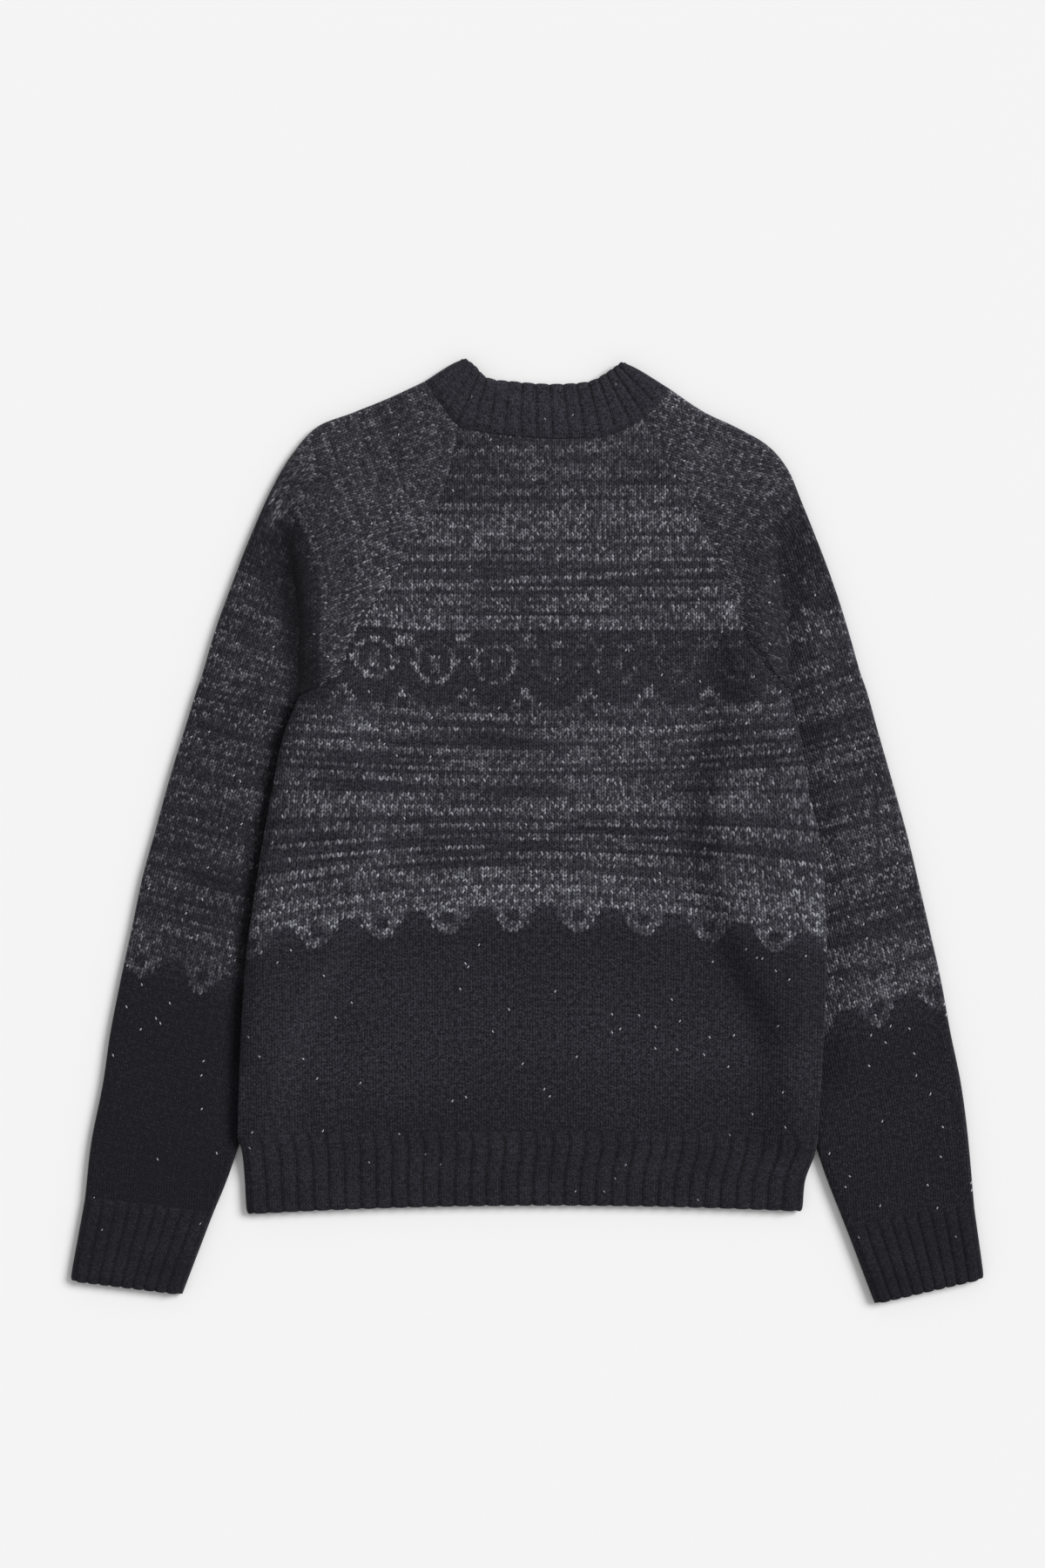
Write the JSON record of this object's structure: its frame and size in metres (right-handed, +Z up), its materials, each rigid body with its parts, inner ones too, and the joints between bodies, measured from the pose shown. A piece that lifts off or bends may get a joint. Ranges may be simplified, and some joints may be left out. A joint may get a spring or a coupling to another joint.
{
  "type": "fair isle jumper",
  "caption": "Chunky raglan pullover with a ribbed mock neck, ribbed hem and cuffs and a stranded yoke-style pattern, laid flat with its back upwards and its arms down.",
  "frame": {"origin": "on the floor under the middle of the outline", "axes": "+Z up from the surface it lies on, +Y towards the neck, +X to the right as seen from above"},
  "size_m": [0.7548, 0.7826, 0.0177],
  "materials": {
    "patterned_knit": "chunky stranded wool knit, charcoal flecked with pale grey, matt and slightly fuzzy",
    "rib_knit": "dark charcoal two-by-one wool rib, matt and slightly fuzzy"
  },
  "bodies": {
    "root": {"back": "patterned_knit", "front": "patterned_knit", "sleeve_left": "patterned_knit", "sleeve_right": "patterned_knit", "collar": "rib_knit", "hem_rib_back": "rib_knit", "hem_rib_front": "rib_knit", "cuff_left": "rib_knit", "cuff_right": "rib_knit"}
  },
  "joints": []
}
